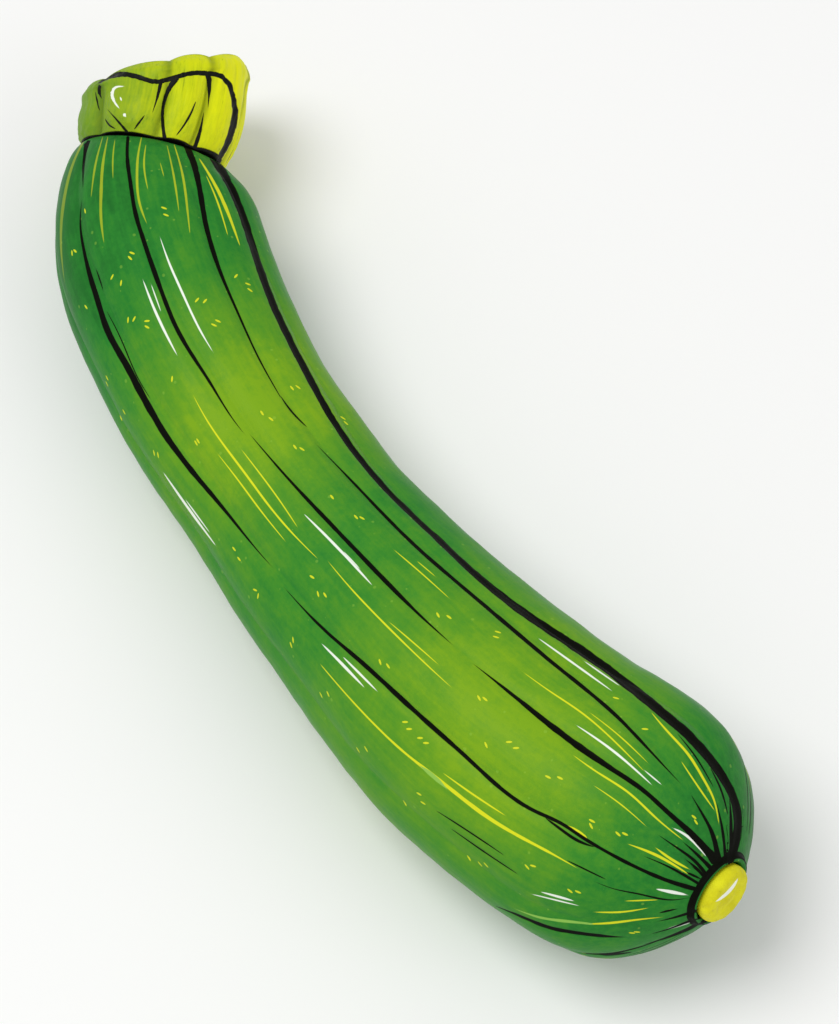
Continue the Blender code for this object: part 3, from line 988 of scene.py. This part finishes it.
def make_scar(picture):
    """The blossom scar: the corky button, rough on top."""
    side = straight_outline(SCAR_SIDE_OUTLINE, SCAR_RING_STEP * 3)
    top = curved_outline(SCAR_TOP_OUTLINE, SCAR_RING_STEP)
    rings = np.concatenate([side[:-1], top])
    degrees = np.arange(SCAR_COLUMNS)[None, :] * FULL_TURN / SCAR_COLUMNS
    form = Form(rings[:, :1], rings[:, 1:], degrees)
    surface = form.surface()
    high = np.clip((form.along - SCAR_TOP_OUTLINE[0][0]) / SCAR_WAVES_FADE, 0.0, 1.0)
    form.swell(waves(form.points, *SCAR_WAVES) * high)
    lay_strokes(form, "white", [drawn_stroke(picture, surface, *stroke) for stroke in SCAR_HIGHLIGHT_STROKES])
    form.piece("zucchini_blossom_scar", "blossom_scar", "blossom_scar", scar_finish())


def colour(red, green, blue):
    """A colour as the picture shows it, from 0 to 255, as the renderer's linear values."""
    shares = np.array((red, green, blue)) / 255
    linear = np.where(shares <= 0.04045, shares / 12.92, ((shares + 0.055) / 1.055) ** 2.4)
    return (*linear.tolist(), 1.0)


class Finish:
    """A material as its nodes are built. An input is a number, a colour or another node's output."""

    def __init__(self, name):
        self.material = bpy.data.materials.new(name)
        self.material.use_nodes = True
        self.tree = self.material.node_tree
        self.shader = self.tree.nodes["Principled BSDF"]
        self.base = None

    def node(self, kind, inputs=None, **settings):
        made = self.tree.nodes.new(kind)
        for label, value in settings.items():
            setattr(made, label, value)
        for label, value in (inputs or {}).items():
            self.feed(made.inputs[label], value)
        return made

    def feed(self, socket, value):
        if isinstance(value, bpy.types.NodeSocket):
            self.tree.links.new(value, socket)
        else:
            socket.default_value = colour(*value) if socket.type == "RGBA" else value

    def math(self, operation, *values, clamp=False):
        inputs = dict(enumerate(values))
        return self.node("ShaderNodeMath", inputs, operation=operation, use_clamp=clamp).outputs[0]

    def times(self, first, second):
        return self.math("MULTIPLY", first, second)

    def minus(self, first, second):
        return self.math("SUBTRACT", first, second)

    def share(self, value, whole):
        """How much of the whole a value is, from 0 to 1."""
        return self.math("DIVIDE", value, whole, clamp=True)

    def field(self, name, output="Fac"):
        """A number that the mesh carries, or a vector."""
        return self.node("ShaderNodeAttribute", attribute_name=name).outputs[output]

    def of_vector(self, operation, *values, output="Vector"):
        inputs = dict(enumerate(values))
        return self.node("ShaderNodeVectorMath", inputs, operation=operation).outputs[output]

    def noise(self, vector, wavelength, detail, roughness):
        """Soft irregular noise from about 0 to 1, whose features are about this many mm long."""
        inputs = {"Vector": vector, "Scale": 1 / wavelength, "Detail": detail, "Roughness": roughness}
        return self.node("ShaderNodeTexNoise", inputs).outputs["Fac"]

    def rescaled(self, value, *limits):
        """The value moved smoothly from between the first two limits to between the other two."""
        inputs = {"Value": value, **dict(enumerate(limits, 1))}
        return self.node("ShaderNodeMapRange", inputs, interpolation_type="SMOOTHSTEP").outputs["Result"]

    def between(self, noise, low, high):
        return self.rescaled(noise, *NOISE_LIMITS, low, high)

    def varied(self, value, noises, sizes):
        """The value, more or less by up to a noise's size for each noise."""
        for noise, size in zip(noises, sizes):
            value = self.math("ADD", value, self.between(noise, -size, size))
        return value

    def mix(self, share, first, second):
        return self.node("ShaderNodeMix", {0: share, 6: first, 7: second}, data_type="RGBA").outputs[2]

    def paint(self, share, shade, strength=1.0):
        """Lays a colour over what has been painted so far."""
        self.base = self.mix(self.times(share, strength), self.base, shade)

    def ramp(self, value, stops):
        made = self.node("ShaderNodeValToRGB", {"Fac": value})
        band = made.color_ramp
        while len(band.elements) < len(stops):
            band.elements.new(0.5)
        for element, (place, shade) in zip(band.elements, stops):
            element.position = place
            element.color = colour(*shade)
        return made.outputs["Color"]

    def most(self, values):
        found = values[0]
        for value in values[1:]:
            found = self.math("MAXIMUM", found, value)
        return found

    def marks(self, name, cover):
        """How much the marks of these fields cover the point, from each field's cover of it."""
        covers = []
        for i in range(LAYERS[name]):
            values = self.field(f"{name}_{i}", "Vector")
            covers.append(cover(*self.node("ShaderNodeSeparateXYZ", {"Vector": values}).outputs))
        return self.most(covers)

    def strokes(self, name, wobble):
        """How much the strokes of this name cover the point, from 0 to 1."""

        def cover(signed, half, off):
            half = self.times(half, wobble)
            inside = self.minus(half, self.math("ABSOLUTE", signed))
            inside = self.math("MULTIPLY_ADD", inside, 1 / STROKE_SOFTNESS, 0.5, clamp=True)
            inside = self.times(inside, self.share(half, STROKE_SOFTNESS / 2))
            room = self.minus(self.math("MULTIPLY_ADD", half, *STROKE_ROOM), off)
            return self.times(inside, self.share(room, MARK_FADE))

        return self.marks(name, cover)

    def dashes(self):
        """How much a dash covers the point, from 0 to 1."""

        def cover(lengthwise, crosswise, off):
            inside = 1.0
            for value, half in zip((lengthwise, crosswise), DASH_HALF_SIZE):
                inside = self.minus(inside, self.math("POWER", self.math("DIVIDE", value, half), 2.0))
            inside = self.math("MULTIPLY", inside, DASH_SHARPNESS, clamp=True)
            return self.times(inside, self.share(self.minus(DASH_SHOWS_TO, off), MARK_FADE))

        return self.marks("dash", cover)

    def bump(self, heights, distances):
        """Bumps from heights between 0 and 1, and how many mm the 1 stands for."""
        inputs = {"Strength": 1.0}
        for height, distance in zip(heights, distances):
            inputs.update({"Height": height, "Distance": distance * MM})
            inputs["Normal"] = self.node("ShaderNodeBump", inputs).outputs["Normal"]
        self.feed(self.shader.inputs["Normal"], inputs["Normal"])

    def done(self, roughness, specular):
        self.feed(self.shader.inputs["Base Color"], self.base)
        self.feed(self.shader.inputs["Roughness"], roughness)
        self.shader.inputs["Specular IOR Level"].default_value = specular
        return self.material


# The finishes. A noise has its wavelength in mm, its detail and its roughness. Limits are two values and
# how strongly a colour shows at each, fading in between.
NOISE_LIMITS = (0.3, 0.7)
INK = (12, 14, 8)
STREAK_YELLOW = (222, 224, 40)
# The first colour below is that of the painted highlights.
HIGHLIGHT_WHITE = (246, 250, 240)
STREAK_PALE = (142, 192, 84)
STREAK_AND_HIGHLIGHT_SHOWS = 0.95
SEAM_SHADE_SOFTNESS = 0.15

SKIN_STRETCH = (0.09, 1.0, 1.0)
SKIN_STREAKS = (1.3, 4.0, 0.6)
SKIN_MOTTLE = (7.0, 5.0, 0.6)
SKIN_GRAIN = (0.9, 3.0, 0.6)
SKIN_TONE_CHANGES = (0.09, 0.07, 0.04)
SKIN_GREENS = (
    (0.0, (36, 108, 42)),
    (0.2, (44, 126, 46)),
    (0.4, (64, 138, 44)),
    (0.7, (94, 152, 38)),
    (1.0, (124, 168, 32)),
)
SKIN_WOBBLE = (4.0, 2.0, 0.5)
SKIN_WOBBLE_WIDTHS = (0.9, 1.1)
SKIN_HIGHLIGHT_SHOWS = 0.92
SKIN_BUMPS = (0.05, 0.05, 0.035, -0.08)
SKIN_ROUGHNESS = (0.3, 0.42)
SKIN_SPECULAR = 0.03
STRIPE_ROUGHER = 0.2
YELLOW_WIDTH = 0.78
FLECK_SPACING = 2.4
FLECK_RADIUS = 0.17
FLECK_SOFTNESS = 0.05
FLECK_SHOWS = 0.3
FLECK_GREEN = (150, 196, 70)
FLECK_HEIGHT = 1.2
DASH_YELLOW = (208, 218, 44)
RING_SOFTNESS = 0.12


def skin_finish():
    """Waxy green skin, mottled and finely streaked, with stripes, streaks, dashes and painted highlights.
    """
    made = Finish("waxy_green_skin")
    place = made.field("course", "Vector")
    streaks = made.noise(made.of_vector("MULTIPLY", place, SKIN_STRETCH), *SKIN_STREAKS)
    mottle = made.noise(place, *SKIN_MOTTLE)
    grain = made.noise(place, *SKIN_GRAIN)
    tone = made.varied(made.field("tone"), (mottle, streaks, grain), SKIN_TONE_CHANGES)
    made.base = made.ramp(tone, SKIN_GREENS)
    cells = made.node("ShaderNodeTexVoronoi", {"Vector": place, "Scale": 1 / FLECK_SPACING}, feature="F1")
    size = made.node("ShaderNodeSeparateColor", {"Color": cells.outputs["Color"]}).outputs["Red"]
    fleck = made.minus(made.times(size, FLECK_RADIUS), cells.outputs["Distance"])
    fleck = made.times(made.share(fleck, FLECK_SOFTNESS), FLECK_SHOWS)
    made.paint(fleck, FLECK_GREEN)
    wobble = made.between(made.noise(place, *SKIN_WOBBLE), *SKIN_WOBBLE_WIDTHS)
    yellow = made.strokes("yellow", made.times(wobble, YELLOW_WIDTH))
    made.paint(yellow, STREAK_YELLOW, made.field("streak_strength"))
    made.paint(made.strokes("pale", wobble), STREAK_PALE, STREAK_AND_HIGHLIGHT_SHOWS)
    # Painted highlights over the skin.
    made.paint(made.strokes("white", wobble), HIGHLIGHT_WHITE, SKIN_HIGHLIGHT_SHOWS)
    dash = made.dashes()
    made.paint(dash, DASH_YELLOW)
    # The band round the stem's foot is painted shade. The stripes and the ring are dark markings.
    seam_shade = made.share(made.field("seam_shade"), SEAM_SHADE_SOFTNESS)
    ring = made.share(made.field("ring"), RING_SOFTNESS)
    dark = made.most([made.strokes("dark", wobble), seam_shade, ring])
    made.paint(dark, INK)
    raised = made.most([dash, made.times(fleck, FLECK_HEIGHT)])
    made.bump((raised, streaks, grain, dark), SKIN_BUMPS)
    roughness = made.between(mottle, *SKIN_ROUGHNESS)
    roughness = made.math("ADD", roughness, made.times(dark, STRIPE_ROUGHER))
    return made.done(roughness, SKIN_SPECULAR)


CUT_RAY_SPREAD = (9.0, 9.0, 9.0)
CUT_RAYS = (0.9, 4.0, 0.6)
CUT_GRAIN = (0.6, 3.0, 0.6)
CUT_RAY_SHARE = 0.6
CUT_FLESH = ((0.35, (170, 186, 88)), (0.65, (206, 214, 128)))
CUT_FIBRE_RING = 9.5
CUT_RING_LIMITS = (0.0, 1.4, 0.55, 0.0)
CUT_RING_GREEN = (128, 152, 52)
CUT_PITH_LIMITS = (1.5, 5.0, 0.5, 0.0)
CUT_PITH = (224, 226, 160)
CUT_EDGE_LIMITS = (12.4, 13.6, 0.0, 0.9)
CUT_EDGE_GREEN = (150, 176, 30)


def cut_end_tone(made, place):
    """The cut end: moist pale green flesh with fine rays, a darker ring of fibres and a green edge."""
    aside = made.of_vector("MULTIPLY", place, (0.0, 1.0, 1.0))
    outward = made.of_vector("MULTIPLY", made.of_vector("NORMALIZE", aside), CUT_RAY_SPREAD)
    reach = made.of_vector("LENGTH", aside, output="Value")
    rays = made.times(made.noise(outward, *CUT_RAYS), CUT_RAY_SHARE)
    grain = made.times(made.noise(place, *CUT_GRAIN), 1 - CUT_RAY_SHARE)
    tone = made.ramp(made.math("ADD", rays, grain), CUT_FLESH)
    ring = made.math("ABSOLUTE", made.minus(reach, CUT_FIBRE_RING))
    tone = made.mix(made.rescaled(ring, *CUT_RING_LIMITS), tone, CUT_RING_GREEN)
    tone = made.mix(made.rescaled(reach, *CUT_PITH_LIMITS), tone, CUT_PITH)
    return made.mix(made.rescaled(reach, *CUT_EDGE_LIMITS), tone, CUT_EDGE_GREEN)


STEM_FIBRE_STRETCH = (0.08, 1.0, 1.0)
STEM_FIBRES = (0.7, 4.0, 0.65)
STEM_MOTTLE = (4.0, 4.0, 0.6)
STEM_TONE_CHANGES = (0.06, 0.05)
# From the stem's shaded left to its lit right: painted light over its own yellow-green.
STEM_GREENS = (
    (0.05, (110, 150, 34)),
    (0.35, (146, 174, 26)),
    (0.65, (200, 212, 16)),
    (1.0, (234, 236, 12)),
)
# Painted shade that darkens the stem's creases.
CREASE_SHADE_LIMITS = (0.45, 1.0, 0.0, 0.5)
CREASE_SHADE_GREEN = (70, 96, 14)
FIBRE_LIMITS = (0.38, 0.3, 0.0, 0.35)
FIBRE_GREEN = (84, 110, 20)
STEM_WOBBLE = (1.2, 2.0, 0.5)
STEM_WOBBLE_WIDTHS = (0.95, 1.2)
STEM_BUMPS = (0.12, 0.08, -0.08)
STEM_ROUGHNESS = (0.42, 0.6)
STEM_SPECULAR = 0.12


def stem_finish():
    """Satin yellow-green stalk, finely furrowed, with creases in painted shade and a pale fibrous cut end.
    """
    made = Finish("furrowed_green_stem")
    place = made.field("course", "Vector")
    fibres = made.noise(made.of_vector("MULTIPLY", place, STEM_FIBRE_STRETCH), *STEM_FIBRES)
    mottle = made.noise(place, *STEM_MOTTLE)
    # Painted light: lighter towards the camera's right.
    tone = made.varied(made.field("tone"), (fibres, mottle), STEM_TONE_CHANGES)
    made.base = made.ramp(tone, STEM_GREENS)
    # Painted shade in the creases.
    made.paint(made.rescaled(made.field("crease"), *CREASE_SHADE_LIMITS), CREASE_SHADE_GREEN)
    made.paint(made.rescaled(fibres, *FIBRE_LIMITS), FIBRE_GREEN)
    made.paint(made.field("cut"), cut_end_tone(made, place))
    wobble = made.between(made.noise(place, *STEM_WOBBLE), *STEM_WOBBLE_WIDTHS)
    # Painted highlights on the stem.
    made.paint(made.strokes("white", wobble), HIGHLIGHT_WHITE, STREAK_AND_HIGHLIGHT_SHOWS)
    # Dark strokes, with painted shade round the stem's foot.
    dark = made.most([made.strokes("dark", wobble), made.share(made.field("seam_shade"), SEAM_SHADE_SOFTNESS)])
    dark = made.times(dark, made.minus(1.0, made.field("cut")))
    made.paint(dark, INK)
    made.bump((fibres, mottle, dark), STEM_BUMPS)
    return made.done(made.between(fibres, *STEM_ROUGHNESS), STEM_SPECULAR)


SCAR_GRAIN = (0.7, 5.0, 0.7)
SCAR_BLOTCHES = (2.5, 3.0, 0.6)
SCAR_YELLOWS = ((0.3, (206, 200, 22)), (0.7, (226, 224, 30)))
SCAR_CRACK_LIMITS = (0.4, 0.3, 0.0, 0.55)
SCAR_CRACK = (160, 146, 30)
SCAR_BUMPS = (0.12, 0.1)
SCAR_ROUGHNESS = (0.55, 0.75)
SCAR_SPECULAR = 0.15


def scar_finish():
    """Dull yellow cork, blotched and finely cracked, with a painted highlight."""
    made = Finish("corky_yellow_scar")
    place = made.field("course", "Vector")
    grain = made.noise(place, *SCAR_GRAIN)
    blotches = made.noise(place, *SCAR_BLOTCHES)
    made.base = made.ramp(blotches, SCAR_YELLOWS)
    made.paint(made.rescaled(grain, *SCAR_CRACK_LIMITS), SCAR_CRACK)
    # A painted highlight.
    made.paint(made.strokes("white", 1.0), HIGHLIGHT_WHITE, STREAK_AND_HIGHLIGHT_SHOWS)
    made.bump((grain, blotches), SCAR_BUMPS)
    return made.done(made.between(grain, *SCAR_ROUGHNESS), SCAR_SPECULAR)


FLOOR_HALF = 3.0
FLOOR_PALE = (247, 247, 246)
FLOOR_ROUGHNESS = 0.9
FLOOR_SPECULAR = 0.1
WORLD_LIGHT = 0.58
# The lights: how far to the picture's right, up and towards its camera from the target, the size, in
# metres, and the watts.
LIGHTS = (
    ("key_light", (-0.55, 0.55, 1.1), 0.8, 8.5),
    ("fill_light", (0.8, -0.2, 0.9), 1.0, 2.5),
)


def make_floor():
    """A plain pale floor."""
    mesh = bpy.data.meshes.new("floor")
    corners = [(x * FLOOR_HALF, y * FLOOR_HALF, 0.0) for x, y in ((-1, -1), (1, -1), (1, 1), (-1, 1))]
    mesh.from_pydata(corners, [], [(0, 1, 2, 3)])
    pale = Finish("pale_floor")
    pale.base = FLOOR_PALE
    mesh.materials.append(pale.done(FLOOR_ROUGHNESS, FLOOR_SPECULAR))
    floor = added("floor", mesh)
    floor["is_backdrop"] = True


def make_light(picture):
    """A pale surrounding and soft lights."""
    world = bpy.data.worlds.new("pale_room")
    world.use_nodes = True
    background = world.node_tree.nodes["Background"]
    background.inputs["Color"].default_value = (1.0, 1.0, 1.0, 1.0)
    background.inputs["Strength"].default_value = WORLD_LIGHT
    bpy.context.scene.world = world
    target = Vector(TARGET) * MM
    for name, (across, upward, nearer), size, watts in LIGHTS:
        data = bpy.data.lights.new(name, "AREA")
        data.shape = "DISK"
        data.size = size
        data.energy = watts
        light = added(name, data)
        away = Vector(picture.right * across + picture.up * upward + picture.back * nearer)
        light.location = target + away
        light.rotation_euler = away.to_track_quat("Z", "Y").to_euler()
    bpy.context.scene.view_settings.view_transform = "Standard"


def write_sizes():
    """Gathers the CAD box and the visual model's box as lists of corners."""
    boxes = {"cad": cad_box, "visual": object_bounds()}
    sizes = {name: [list(corner) for corner in box] for name, box in boxes.items()}


def main():
    picture = Picture()
    picture.look()
    make_floor()
    make_light(picture)
    make_fruit(picture)
    make_stem(picture)
    make_scar(picture)
    write_sizes()


main()
